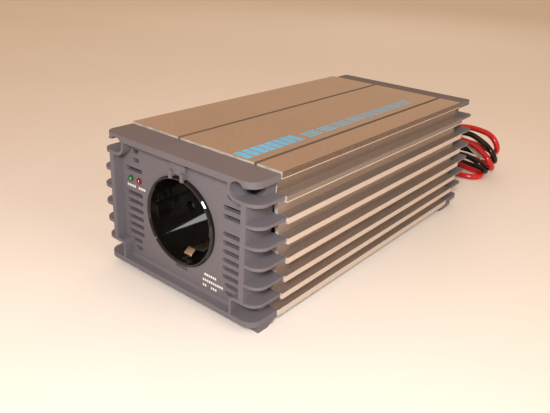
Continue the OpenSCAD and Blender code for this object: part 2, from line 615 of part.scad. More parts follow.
// from the hank to the sleeves of the ring terminals
tail_rx = -28;
tail_bx = -14;
tail_end = 140;
function tail(x) = [[x, near_y, 2.4], [x, 147.2, 2.4], [x, 145, 2.5], [x, 143, 2.8],
  [x, 141, 3.05], [x, tail_end, 3.05]];
function lead_in(p) = concat(smooth(p, 2), [[p[0][0], near_y, p[len(p) - 1][2]]]);
module dc_lead_red() color("red") {
  tube(lead_in(red_route), lead_r);
  tube(tail(tail_rx), lead_r);
}
module dc_lead_black() color("black") {
  tube(lead_in(black_route), lead_r);
  tube(tail(tail_bx), lead_r);
}

// outer shape of the folded and tied leads: two rounded lobes and a narrow waist
waist_x = -12;
module lobe(x0, x1, y0, y1, r0, r) {
  for (x = [x0 + r, x1 - r]) translate([x, y1 - r]) circle(r = r, $fn = 48);
  for (x = [x0 + r0, x1 - r0]) translate([x, y0 + r0]) circle(r = r0, $fn = 48);
  translate([x0 + r, y0 + r0]) square([x1 - x0 - 2 * r, y1 - y0 - r0]);
  translate([x0 + r0, y0]) square([x1 - x0 - 2 * r0, y1 - y0 - r]);
  translate([x0, y0 + r0]) square([x1 - x0, y1 - y0 - r - r0]);
}
module lead_hank() color("crimson") {
  translate([0, 0, 0.02]) linear_extrude(33.5) lobe(2, 59, near_y, 206, 8, 20);
  difference() {
    translate([0, 0, 0.02]) linear_extrude(27) lobe(-60, waist_x + 2, near_y, 196, 2, 18);
    // the waist
    box(waist_x - 6, waist_x + 3, near_y + 9, 210, -1, 40);
  }
  box(waist_x - 7, 10, 160, 182, 1.4, 23);
}

module cable_tie() color("white") {
  difference() {
    box(waist_x - 2, waist_x + 2, 158.6, 183.4, 0, 24.4);
    box(waist_x - 3, waist_x + 3, 160, 182, 1.4, 23);
  }
  box(waist_x - 3, waist_x + 3, 164, 170, 24.4, 28);
}

// terminal lying flat, its barrel towards +Y
module ring_terminal(x, y) {
  translate([x, y, 0.2]) difference() {
    union() {
      cylinder(r = 5.4, h = 1, $fn = 48);
      translate([-2.2, 1.5, 0]) cube([4.4, 8, 1]);
    }
    translate([0, 0, -1]) cylinder(r = 3.2, h = 3, $fn = 48);
  }
}
sleeve_l = 12;
ring_yc = tail_end - sleeve_l - 9.5;
module terminal_sleeve(x) ycyl(3, tail_end - sleeve_l, tail_end, x, 3.05, 32);
module ring_terminal_red() color("silver") ring_terminal(tail_rx, ring_yc);
module ring_terminal_black() color("silver") ring_terminal(tail_bx, ring_yc);
module terminal_sleeve_red() color("red") terminal_sleeve(tail_rx);
module terminal_sleeve_black() color("black") terminal_sleeve(tail_bx);

// ---------- internal wiring ----------
module inner_wires_red() color("red")
  tube(smooth([[gr_x, rear_panel_y - panel_t - 1.4, g_z], [gr_x, 90, g_z], [gr_x, 84, g_z + 2],
    [gr_x - 0.5, 78, g_z + 6], [gr_x - 1, 73, g_z + 7], [gr_x - 2, 69, g_z + 4.5], [gr_x - 2, 67.6, top_b + 1.4]], 2), lead_r, [1, 0, 0]);
module inner_wires_black() color("black")
  tube(smooth([[gb_x, rear_panel_y - panel_t - 1.4, g_z], [gb_x, 90, g_z], [gb_x, 84, g_z + 2],
    [gb_x, 78, g_z + 6], [gb_x, 73, g_z + 7], [gb_x, 69, g_z + 4.5], [gb_x, 67.6, top_b + 1.4]], 2), lead_r, [1, 0, 0]);
wire_y = floor_y + floor_t + 17;
module outlet_wires() color("saddlebrown") both()
  tube(smooth([[contact_pitch / 2, wire_y, outlet_z], [contact_pitch / 2, wire_y + 3, outlet_z + 0.3],
    [contact_pitch / 2, wire_y + 5.8, outlet_z - 1.2], [contact_pitch / 2, wire_y + 7.6, outlet_z - 5],
    [contact_pitch / 2, wire_y + 8, outlet_z - 11], [contact_pitch / 2, wire_y + 8, top_b + 0.6]], 2), 1.2, [1, 0, 0]);
module fan_wires() color("firebrick") for (x = [0, 1.9])
  tube(smooth([[fan_x + 10.5 + x, fan_y0, fan_z - 18.4], [fan_x + 10.5 + x, fan_y0 - 3, fan_z - 18.4],
    [fan_x + 10.5 + x, fan_y0 - 8, fan_z - 17.6], [fan_x + 10.5 + x, fan_y0 - 13, fan_z - 17.4],
    [fan_x + 10.5 + x, fan_y0 - 17, fan_z - 18.4], [fan_x + 10.5 + x, fan_y0 - 18, top_b + 0.6]], 2), 0.8, [1, 0, 0]);

housing_shell();
base_plate();
base_screws();
front_cap();
rear_cap();
front_cap_screws();
rear_cap_screws();
outlet_cup();
outlet_carrier();
outlet_contacts();
earth_clip();
outlet_rear_cover();
led_green();
led_red();
led_board();
main_board();
board_insulator();
transformer_cores();
transformer_windings();
input_capacitors();
output_capacitor();
transistors_left();
transistors_right();
clamp_bar_left();
clamp_bar_right();
clamp_screws();
thermal_pads();
choke_core();
choke_winding();
fuse_sockets();
blade_fuses();
control_board();
buzzer();
fan_frame();
fan_rotor();
fan_screws();
switch_body();
switch_rocker();
switch_terminals();
grommet_red();
grommet_black();
inner_wires_red();
inner_wires_black();
outlet_wires();
fan_wires();
dc_lead_red();
dc_lead_black();
lead_hank();
cable_tie();
ring_terminal_red();
ring_terminal_black();
terminal_sleeve_red();
terminal_sleeve_black();
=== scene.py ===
import math

import bpy
import bmesh
import numpy as np
from mathutils import Matrix, Vector


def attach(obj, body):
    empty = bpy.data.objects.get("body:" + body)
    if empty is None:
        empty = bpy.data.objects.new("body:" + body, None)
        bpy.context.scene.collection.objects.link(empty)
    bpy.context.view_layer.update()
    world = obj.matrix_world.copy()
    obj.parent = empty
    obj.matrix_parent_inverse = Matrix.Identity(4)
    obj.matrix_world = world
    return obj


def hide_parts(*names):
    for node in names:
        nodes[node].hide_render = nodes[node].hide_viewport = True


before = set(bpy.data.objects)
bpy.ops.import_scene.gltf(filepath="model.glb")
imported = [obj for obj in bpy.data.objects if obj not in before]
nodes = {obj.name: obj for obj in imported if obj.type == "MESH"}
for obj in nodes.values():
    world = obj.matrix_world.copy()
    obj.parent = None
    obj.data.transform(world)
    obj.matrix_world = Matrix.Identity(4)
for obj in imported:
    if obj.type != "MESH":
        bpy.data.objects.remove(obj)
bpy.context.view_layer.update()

scene = bpy.context.scene

# ---------------------------------------------------------------- camera
cam_data = bpy.data.cameras.new("camera")
cam_data.lens = 38.488
cam_data.sensor_width = 36.0
cam_data.clip_start = 0.01
cam_data.clip_end = 20.0
cam = bpy.data.objects.new("camera", cam_data)
scene.collection.objects.link(cam)
rot = Matrix(((0.7726584307782025, -0.29651280220172826, 0.5613190781345707),
              (0.632600037659364, 0.28571522218074974, -0.7198499872664971),
              (0.0530673317657549, 0.9112886315238896, 0.40833428505892044)))
cam.matrix_world = Matrix.Translation((0.18153270763965648, -0.26362001538172103, 0.15551549843366)) @ rot.to_4x4()
scene.camera = cam


# ---------------------------------------------------------------- mesh helpers (millimetres in, metres out)
def make(name, verts, faces, body="root", smooth=True):
    me = bpy.data.meshes.new(name)
    me.from_pydata([tuple(c * 0.001 for c in v) for v in verts], [], faces)
    me.validate()
    bm = bmesh.new()
    bm.from_mesh(me)
    bmesh.ops.remove_doubles(bm, verts=bm.verts, dist=1e-7)
    bmesh.ops.recalc_face_normals(bm, faces=bm.faces)
    bm.to_mesh(me)
    bm.free()
    me.polygons.foreach_set("use_smooth", [smooth] * len(me.polygons))
    o = bpy.data.objects.new(name, me)
    scene.collection.objects.link(o)
    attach(o, body)
    return o


def catmull(p, n=10):
    p = np.array(p, float)
    out = []
    for i in range(len(p) - 1):
        a, b, c, d = p[max(i - 1, 0)], p[i], p[i + 1], p[min(i + 2, len(p) - 1)]
        for j in range(n):
            t = j / n
            out.append(0.5 * (2 * b + (c - a) * t + (2 * a - 5 * b + 4 * c - d) * t * t + (3 * b - a - 3 * c + d) * t ** 3))
    out.append(p[-1])
    return np.array(out)


def even(line, step):
    s = np.concatenate([[0], np.cumsum(np.linalg.norm(np.diff(line, axis=0), axis=1))])
    at = np.linspace(0, s[-1], max(2, int(math.ceil(s[-1] / step)) + 1))
    return np.stack([np.interp(at, s, line[:, k]) for k in range(3)], axis=1)


def relaxed(line, rounds, hold=6):
    """Evens out the bends, and leaves both ends where they are."""
    q = line.copy()
    w = np.ones(len(q))
    w[:hold] = 0
    w[-hold:] = 0
    for _ in range(rounds):
        m = q.copy()
        m[1:-1] = 0.25 * q[:-2] + 0.5 * q[1:-1] + 0.25 * q[2:]
        q = q + (m - q) * w[:, None]
    return q


def frames(path, up=(0, 0, 1)):
    """Tangent, side and normal along a path, turned as little as possible."""
    n = len(path)
    t = np.array([path[min(i + 1, n - 1)] - path[max(i - 1, 0)] for i in range(n)])
    t /= np.linalg.norm(t, axis=1)[:, None]
    v = np.array(up, float)
    v -= t[0] * (v @ t[0])
    v /= np.linalg.norm(v)
    vs = [v]
    for i in range(1, n):
        v = v - t[i] * (v @ t[i])
        v /= np.linalg.norm(v)
        vs.append(v)
    vs = np.array(vs)
    return t, np.cross(t, vs), vs


def revolve(name, prof, origin, axis="y", n=48, body="root"):
    """Turns (radius, along) points about an axis through origin. A closed profile gives a ring."""
    verts, faces = [], []
    k = len(prof)
    for i in range(n):
        a = 2 * math.pi * i / n
        for r, t in prof:
            c, s = r * math.cos(a), r * math.sin(a)
            verts.append({"y": (origin[0] + c, origin[1] + t, origin[2] + s),
                          "z": (origin[0] + c, origin[1] + s, origin[2] + t),
                          "x": (origin[0] + t, origin[1] + c, origin[2] + s)}[axis])
    for i in range(n):
        for j in range(k):
            a, b = i * k + j, i * k + (j + 1) % k
            c, d = ((i + 1) % n) * k + (j + 1) % k, ((i + 1) % n) * k + j
            faces.append((a, b, c, d))
    return make(name, verts, faces, body)


def sweep(name, path, section, up=(0, 0, 1), closed=False, body="root", vs=None):
    """Sweeps a section of (side, normal) points along a path. section may be a function of the ring's index."""
    path = np.array(path, float)
    t, u, v = frames(path, up)
    if vs is not None:
        v = np.array(vs, float)
        v -= t * (t * v).sum(1)[:, None]
        v /= np.linalg.norm(v, axis=1)[:, None]
        u = np.cross(t, v)
    if closed:
        n = len(path)
        t = np.array([path[(i + 1) % n] - path[i - 1] for i in range(n)])
        t /= np.linalg.norm(t, axis=1)[:, None]
        if vs is None:
            raise ValueError("a closed sweep needs its normals")
        v = np.array(vs, float)
        v -= t * (t * v).sum(1)[:, None]
        v /= np.linalg.norm(v, axis=1)[:, None]
        u = np.cross(t, v)
    rings = [section(i) if callable(section) else section for i in range(len(path))]
    k = len(rings[0])
    verts, faces = [], []
    for i, ring in enumerate(rings):
        for a, b in ring:
            verts.append(tuple(path[i] + u[i] * a + v[i] * b))
    m = len(path)
    for i in range(m if closed else m - 1):
        for j in range(k):
            faces.append((i * k + j, i * k + (j + 1) % k, ((i + 1) % m) * k + (j + 1) % k, ((i + 1) % m) * k + j))
    if not closed:
        faces.append(tuple(range(k - 1, -1, -1)))
        faces.append(tuple((m - 1) * k + j for j in range(k)))
    return make(name, verts, faces, body)


def rounded_box_section(w, t, r, n=3):
    pts = []
    for cx, cy, a0 in ((w / 2 - r, t / 2 - r, 0), (-w / 2 + r, t / 2 - r, 90), (-w / 2 + r, -t / 2 + r, 180), (w / 2 - r, -t / 2 + r, 270)):
        for i in range(n + 1):
            a = math.radians(a0 + 90 * i / n)
            pts.append((cx + r * math.cos(a), cy + r * math.sin(a)))
    return pts


def add_bevel(o, width, segments=2, angle=30, profile=0.5):
    m = o.modifiers.new("round", "BEVEL")
    m.width = width
    m.segments = segments
    m.limit_method = "ANGLE"
    m.angle_limit = math.radians(angle)
    m.use_clamp_overlap = True
    m.profile = profile
    m.miter_outer = "MITER_ARC"
    return m


# ---------------------------------------------------------------- leads
def fold(S, t, perp):
    S, t, perp = (np.array(v, float) for v in (S, t, perp))
    t = t / np.linalg.norm(t)
    perp = perp - t * (perp @ t)
    r = np.linalg.norm(perp) / 2
    return [tuple(S + (1 - math.cos(x)) / 2 * perp + r * math.sin(x) * t) for x in np.radians([0, 40, 80, 120, 155, 180])]


RED = [(14, 119.3, 17), (14, 124, 17), (14, 129, 15.2), (14, 134, 11), (14, 138.5, 6.6), (14, 142.5, 3.8), (14, 147.2, 2.3),
       (15.8, 151.8, 2.2), (21, 155.6, 2.15), (28, 156.3, 2.15)] + fold((35.6, 155.8, 2.15), (1, 0, 0), (0, 17.4, 0)) + [
       (31, 174.4, 2.3), (24, 176.4, 2.4), (17, 178, 2.6), (8, 178.5, 3), (-2, 177, 3.4),
       (-12, 176, 3.7),
       (-22, 178.4, 5), (-32, 181, 6.4)] + fold((-38, 181, 7), (-1, 0, 0), (0, -19.4, 1)) + [(-30, 162.5, 8.6), (-22, 165, 9.2),
       (-12, 167, 10),
       (-2, 172, 13.2), (8, 178, 17.6), (16.5, 181.1, 20.8), (22.3, 180.9, 21), (28.4, 178.2, 20.5), (35.4, 173.3, 19.6)] + fold((41.1, 168.7, 18.8), (.78, -.6, -.15), (2.5, 9.5, -12.4)) + [
       (37.5, 184.4, 6.6), (30, 187, 6.4), (22, 187.5, 6.8), (8, 185, 8.6), (-2, 179.5, 10.8),
       (-12, 176, 12.2),
       (-22, 178, 13.6), (-32, 181, 15)] + fold((-38, 180.8, 15.7), (-1, 0, 0), (0, -19.4, 1)) + [(-30, 161.5, 17.2), (-22, 164.5, 18),
       (-12, 167, 18.8),
       (-2, 171.5, 23.2), (7, 178, 28.2), (14.5, 182.8, 30.8), (21, 184.5, 31.3), (27.4, 184.4, 31.3), (33.6, 182.7, 31.1)] + fold((39.3, 180, 30.8), (.86, -.5, -.1), (2.6, 6.5, -15.2)) + [
       (36, 190, 16.4), (24, 193, 17), (12, 189.5, 17.8), (0, 180.5, 19.4),
       (-12, 171.8, 20.6),
       (-22, 174.5, 22.4), (-32, 180, 24), (-41, 181, 25), (-49, 177, 25), (-53, 168.5, 23.6), (-51, 159.5, 20.4), (-45.4, 153.8, 15.8), (-41, 153.8, 11), (-37.6, 155.8, 7), (-33.4, 155.6, 4.2), (-29.9, 152.2, 2.8), (-28.2, 147.4, 2.5), (-28, 143.4, 2.8), (-28, 140, 3.05)]
BLACK = [(27, 119.3, 17), (27, 124, 17), (27, 129, 15.8), (27, 134, 13), (27, 138.5, 10), (27, 142.5, 7.9), (27, 147.2, 6.6),
         (27.4, 153.5, 6.4), (26.4, 160, 6), (22, 166.2, 4.4), (15, 170, 2.7), (6, 171.4, 2.4), (-3, 171.7, 2.9),
         (-12, 171.6, 3.4),
         (-24, 172.8, 3.0), (-36, 176, 2.4), (-44, 176.8, 2.25), (-51.5, 173, 2.2), (-53.8, 165.5, 2.2), (-49.8, 160, 2.25), (-42, 158.8, 2.4), (-33, 160.2, 3), (-23.5, 163, 4.2),
         (-12, 167, 5.7),
         (-2, 168.5, 7.6), (10, 169.8, 10.4), (19, 170.4, 12.3), (25, 171, 12.8), (31, 170.3, 12.5)] + fold((36, 168.6, 11.8), (.86, -.45, -.15), (3.6, 10.8, -9.6)) + [
         (34.5, 181.8, 2.2), (27, 182.8, 2.4), (16, 183.6, 3.4), (4, 181.8, 5.4), (-4, 178.7, 7),
         (-12, 176, 7.9),
         (-22, 178.5, 9.4), (-32, 181.3, 10.8)] + fold((-39, 181, 11.5), (-1, 0, 0), (0, -19.8, .8)) + [(-30, 161.6, 12.9), (-22, 164.8, 13.6),
         (-12, 167, 14.4),
         (-2, 171.5, 18.2), (7, 177.5, 22.8), (14.5, 183.6, 25.7), (22, 185, 26.2), (29, 181.2, 25.9), (35.6, 176.1, 25.2)] + fold((41.1, 171.7, 24.5), (.8, -.58, -.15), (3, 9, -13.5)) + [
         (38, 187, 10.6), (30, 190, 10.9), (22, 190.8, 11.6), (8, 187, 13), (-2, 180.5, 15.2),
         (-12, 176, 16.5),
         (-22, 178, 18), (-32, 181.6, 19.4), (-42, 182.4, 20.4), (-52, 177.5, 19.8), (-57.2, 167, 17), (-54.5, 156.5, 12.6), (-46.5, 150.7, 9.2), (-37, 149.7, 7.4), (-28, 151.9, 7), (-21.4, 154.6, 5.4), (-16, 152.4, 3.4), (-14, 147.2, 2.4), (-14, 145, 2.5), (-14, 143, 2.8), (-14, 140, 3.05)]
LEAD_D = 4.2


def lead(name, points):
    line = relaxed(even(catmull(points, 12), 1.2), 12)
    ring = [(LEAD_D / 2 * math.cos(a), LEAD_D / 2 * math.sin(a)) for a in np.linspace(0, 2 * math.pi, 20, endpoint=False)]
    o = sweep(name, line, ring, up=(0.1, 0, 1))
    length = float(np.linalg.norm(np.diff(line, axis=0), axis=1).sum()) / 1000
    return o, line, length


red_lead, red_line, red_len = lead("lead_red", RED)
black_lead, black_line, black_len = lead("lead_black", BLACK)

# ---------------------------------------------------------------- tie round the waist of the hank
WX = -12.0
crossing = []
for line in (red_line, black_line):
    for a, b in zip(line[:-1], line[1:]):
        if (a[0] - WX) * (b[0] - WX) <= 0 and a[0] != b[0]:
            t = (WX - a[0]) / (b[0] - a[0])
            p = a + t * (b - a)
            if p[1] > 156:
                crossing.append((p[1], p[2]))


def hull(pts):
    pts = sorted(set(pts))
    def half(ps):
        out = []
        for p in ps:
            while len(out) > 1 and (out[-1][0] - out[-2][0]) * (p[1] - out[-2][1]) - (out[-1][1] - out[-2][1]) * (p[0] - out[-2][0]) <= 0:
                out.pop()
            out.append(p)
        return out
    lower, top_side_shade = half(pts), half(pts[::-1])
    return lower[:-1] + top_side_shade[:-1]


ring_pts = [(y + (LEAD_D / 2 + 0.12) * math.cos(a), z + (LEAD_D / 2 + 0.12) * math.sin(a))
            for y, z in crossing for a in np.linspace(0, 2 * math.pi, 48, endpoint=False)]
outline = np.array(hull(ring_pts))
closed_line = np.vstack([outline, outline[:1]])
seg = np.concatenate([[0], np.cumsum(np.linalg.norm(np.diff(closed_line, axis=0), axis=1))])
ats = np.linspace(0, seg[-1], 97)[:-1]
loop = np.stack([np.interp(ats, seg, closed_line[:, 0]), np.interp(ats, seg, closed_line[:, 1])], axis=1)
tan = np.roll(loop, -1, 0) - np.roll(loop, 1, 0)
tan /= np.linalg.norm(tan, axis=1)[:, None]
out_n = np.stack([tan[:, 1], -tan[:, 0]], axis=1)
STRAP_T, STRAP_W = 1.0, 3.6
loop = loop + out_n * (STRAP_T / 2)
path3 = np.stack([np.full(len(loop), WX), loop[:, 0], loop[:, 1]], axis=1)
nor3 = np.stack([np.zeros(len(loop)), out_n[:, 0], out_n[:, 1]], axis=1)
tie_loop = sweep("tie_strap", path3, rounded_box_section(STRAP_W, STRAP_T, 0.3), closed=True, vs=nor3)

top_y, top_z = WX, float(outline[:, 1].max())


def block(name, x0, x1, y0, y1, z0, z1, body="root"):
    v = [(x, y, z) for x in (x0, x1) for y in (y0, y1) for z in (z0, z1)]
    return make(name, v, [(0, 1, 3, 2), (4, 6, 7, 5), (0, 4, 5, 1), (2, 3, 7, 6), (0, 2, 6, 4), (1, 5, 7, 3)], body)


tie_head = block("tie_head", WX - 2.7, WX + 2.7, 164.4, 169.6, top_z - 0.1, top_z + 3.7)
add_bevel(tie_head, 0.0006, 3, 30)
tail_pts = np.array([(-12, 167, 26.3), (-12, 171, 26.5), (-11.8, 175.4, 26.6), (-9.6, 179.6, 26.5), (-4, 181.8, 26.0), (5, 183.0, 23.9), (15, 186.6, 21.3),
                     (22, 185.6, 17.5), (30.6, 182, 13.4), (36, 177.6, 12.8), (39.1, 173.9, 12.8)], float)
tail_pts[:3, 2] = top_z + 1.9
tail_nor = np.array([(0, 0, 1), (0, 0, 1), (-0.25, 0.1, 1), (-0.6, 0.6, 0.6), (-0.3, 1, 0.25), (-0.1, 1, 0.1), (0.0, 1, 0), (0.3, 1, 0), (0.55, 0.8, 0.1),
                     (0.65, 0.75, 0), (0.7, 0.7, 0)], float)
tail_line = catmull(tail_pts, 8)
tail_up = catmull(tail_nor, 8)
tie_tail = sweep("tie_tail", tail_line, rounded_box_section(3.0, 1.0, 0.25), vs=tail_up)


def relief(name, x):
    """Ribbed strain relief: flange against the panel, then a tapering ribbed sleeve round the lead."""
    outer = [(5.0, 99.8), (5.4, 100.1), (5.4, 100.9), (5.1, 101.3), (4.5, 101.4)]
    y = 102.2
    while y < 118.0:
        r = 4.4 - 1.6 * (y - 101.3) / 18
        outer += [(r - 0.55, y), (r - 0.55, y + 0.55), (r - 0.05, y + 0.7), (r - 0.05, y + 1.25)]
        y += 1.4
    outer += [(2.85, 118.9), (2.6, 119.3)]
    return revolve(name, outer + [(2.12, 119.3), (2.12, 99.8)], (x, 0, 17), "y", 48)


relief_red = relief("relief_red", 14)
relief_black = relief("relief_black", 27)


def marks(name, rects, plane, level, proud):
    """Thin plain bars just proud of a face: plane z takes (x0, x1, y0, y1), plane y takes (x0, x1, z0, z1)."""
    verts, faces = [], []
    for a0, a1, b0, b1 in rects:
        k = len(verts)
        for c in (level, level + proud):
            for a, b in ((a0, b0), (a1, b0), (a1, b1), (a0, b1)):
                verts.append((a, b, c) if plane == "z" else (a, c, b))
        faces += [(k, k + 1, k + 2, k + 3), (k + 4, k + 7, k + 6, k + 5), (k, k + 4, k + 5, k + 1), (k + 1, k + 5, k + 6, k + 2),
                  (k + 2, k + 6, k + 7, k + 3), (k + 3, k + 7, k + 4, k)]
    return make(name, verts, faces, smooth=False)


blue = [(18.6, 27.4, -86.5 + i * 5.2, -86.5 + i * 5.2 + 4.1) for i in range(8)]
blue += [(x, x + 1.3, -41.5 + i * 13.4, -41.5 + i * 13.4 + 11.4) for x in (20.9, 23.4, 25.9) for i in range(8)]
print_top = marks("print_top", blue, "z", 71.995, 0.03)
white = []
for x0, x1, z in ((-37.6, -30.8, 45.2), (-29.3, -23.4, 45.2), (15.4, 23.6, 16.5), (14.4, 27.6, 13.5), (14.4, 18.2, 10.7), (19.6, 24.8, 10.7)):
    n = int((x1 - x0) / 1.3)
    white += [(x0 + i * 1.3, x0 + i * 1.3 + 0.85, z - 0.6, z + 0.6) for i in range(n)]
print_panel = marks("print_panel", white, "y", -99.83, 0.035)

# ---------------------------------------------------------------- studio
world = bpy.data.worlds.new("studio")
world.use_nodes = True
wbg = world.node_tree.nodes["Background"]
wbg.inputs["Color"].default_value = (0.66, 0.445, 0.295, 1)
wbg.inputs["Strength"].default_value = 1.0
scene.world = world
scene.view_settings.view_transform = "Standard"


def area(name, loc, target, size, power, colour, size_y=None, glossy=True):
    d = bpy.data.lights.new(name, "AREA")
    d.energy = power
    d.color = colour
    d.shape = "RECTANGLE" if size_y else "SQUARE"
    d.size = size
    if size_y:
        d.size_y = size_y
    o = bpy.data.objects.new(name, d)
    scene.collection.objects.link(o)
    o.location = loc
    o.rotation_mode = "QUATERNION"
    o.rotation_quaternion = (Vector(loc) - Vector(target)).to_track_quat("Z", "Y")
    o.visible_glossy = glossy
    return o


area("flash", (0.24, -0.42, 0.30), (0.02, -0.04, 0.03), 0.09, 2.6, (0.98, 0.97, 0.98))
area("side", (0.75, 0.0, 0.42), (0.16, 0.02, 0.0), 0.4, 1.7, (1.0, 0.95, 0.88), glossy=False)

area("fill", (-0.45, 0.95, 0.75), (0.0, 0.15, 0.03), 0.5, 1.3, (1.0, 0.98, 0.95), glossy=False)

# ---------------------------------------------------------------- materials


def node(nt, kind, **kw):
    n = nt.nodes.new(kind)
    for k, v in kw.items():
        if hasattr(n, k):
            setattr(n, k, v)
        else:
            n.inputs[k].default_value = v
    return n


def principled(name):
    m = bpy.data.materials.new(name)
    m.use_nodes = True
    nt = m.node_tree
    b = nt.nodes["Principled BSDF"]
    return m, nt, b


def rgb(c, k=1.0):
    return (min(c[0] * k, 1), min(c[1] * k, 1), min(c[2] * k, 1), 1)


def coords(nt, stretch=(1, 1, 1)):
    tc = nt.nodes.new("ShaderNodeTexCoord")
    mp = nt.nodes.new("ShaderNodeMapping")
    mp.inputs["Scale"].default_value = stretch
    nt.links.new(tc.outputs["Object"], mp.inputs["Vector"])
    return tc, mp.outputs["Vector"]


def noise(nt, vec, scale, detail=2.0, rough=0.5):
    n = nt.nodes.new("ShaderNodeTexNoise")
    n.inputs["Scale"].default_value = scale
    n.inputs["Detail"].default_value = detail
    n.inputs["Roughness"].default_value = rough
    nt.links.new(vec, n.inputs["Vector"])
    return n.outputs["Fac"]


def ramp(nt, fac, stops):
    r = nt.nodes.new("ShaderNodeValToRGB")
    el = r.color_ramp.elements
    while len(el) < len(stops):
        el.new(0.5)
    for e, (p, c) in zip(el, stops):
        e.position = p
        e.color = c if len(c) == 4 else (*c, 1)
    nt.links.new(fac, r.inputs["Fac"])
    return r.outputs["Color"]


def mix(nt, fac, a, b, mode="MIX"):
    m = nt.nodes.new("ShaderNodeMix")
    m.data_type = "RGBA"
    m.blend_type = mode
    if isinstance(fac, (int, float)):
        m.inputs["Factor"].default_value = fac
    else:
        nt.links.new(fac, m.inputs["Factor"])
    for sock, val in (("A", a), ("B", b)):
        s = [i for i in m.inputs if i.name == sock and i.type == "RGBA"][0]
        if isinstance(val, tuple):
            s.default_value = val
        else:
            nt.links.new(val, s)
    return [o for o in m.outputs if o.type == "RGBA"][0]


def math_node(nt, op, a, b=None, c=None, clamp=False):
    m = nt.nodes.new("ShaderNodeMath")
    m.operation = op
    m.use_clamp = clamp
    for i, v in enumerate((a, b, c)):
        if v is None:
            continue
        if isinstance(v, (int, float)):
            m.inputs[i].default_value = v
        else:
            nt.links.new(v, m.inputs[i])
    return m.outputs[0]


def map_range(nt, v, a, b, c, d):
    m = nt.nodes.new("ShaderNodeMapRange")
    m.inputs["From Min"].default_value = a
    m.inputs["From Max"].default_value = b
    m.inputs["To Min"].default_value = c
    m.inputs["To Max"].default_value = d
    nt.links.new(v, m.inputs["Value"])
    return m.outputs["Result"]


def bump(nt, b, height, strength, distance):
    n = nt.nodes.new("ShaderNodeBump")
    n.inputs["Strength"].default_value = strength
    n.inputs["Distance"].default_value = distance
    nt.links.new(height, n.inputs["Height"])
    nt.links.new(n.outputs["Normal"], b.inputs["Normal"])


def surface(name, colour, rough, metal=0.0, grain=1800, grain_c=0.08, mottle=22, mottle_c=0.07, rough_var=0.05,
            bump_s=0.25, bump_d=0.00004, stretch=(1, 1, 1), coat=0.0, spec=0.5, coat_rough=0.1, sheen=0.0):
    """Plastic, rubber or metal with fine grain, soft mottling, and uneven gloss."""
    m, nt, b = principled(name)
    _, vec = coords(nt, stretch)
    g = noise(nt, vec, grain, 2.0, 0.6)
    s = noise(nt, vec, mottle, 3.0, 0.55)
    c1 = ramp(nt, s, [(0.3, rgb(colour, 1 - mottle_c)), (0.7, rgb(colour, 1 + mottle_c))])
    gr = ramp(nt, g, [(0.3, (1 - grain_c,) * 3), (0.7, (1 + grain_c,) * 3)])
    c = mix(nt, 1.0, c1, gr, "MULTIPLY")
    nt.links.new(c, b.inputs["Base Color"])
    nt.links.new(map_range(nt, s, 0.3, 0.7, max(rough - rough_var, 0.02), min(rough + rough_var, 1.0)), b.inputs["Roughness"])
    b.inputs["Metallic"].default_value = metal
    b.inputs["Coat Weight"].default_value = coat
    b.inputs["Coat Roughness"].default_value = coat_rough
    b.inputs["Specular IOR Level"].default_value = spec
    if sheen:
        b.inputs["Sheen Weight"].default_value = sheen
    if bump_s:
        bump(nt, b, g, bump_s, bump_d)
    return m


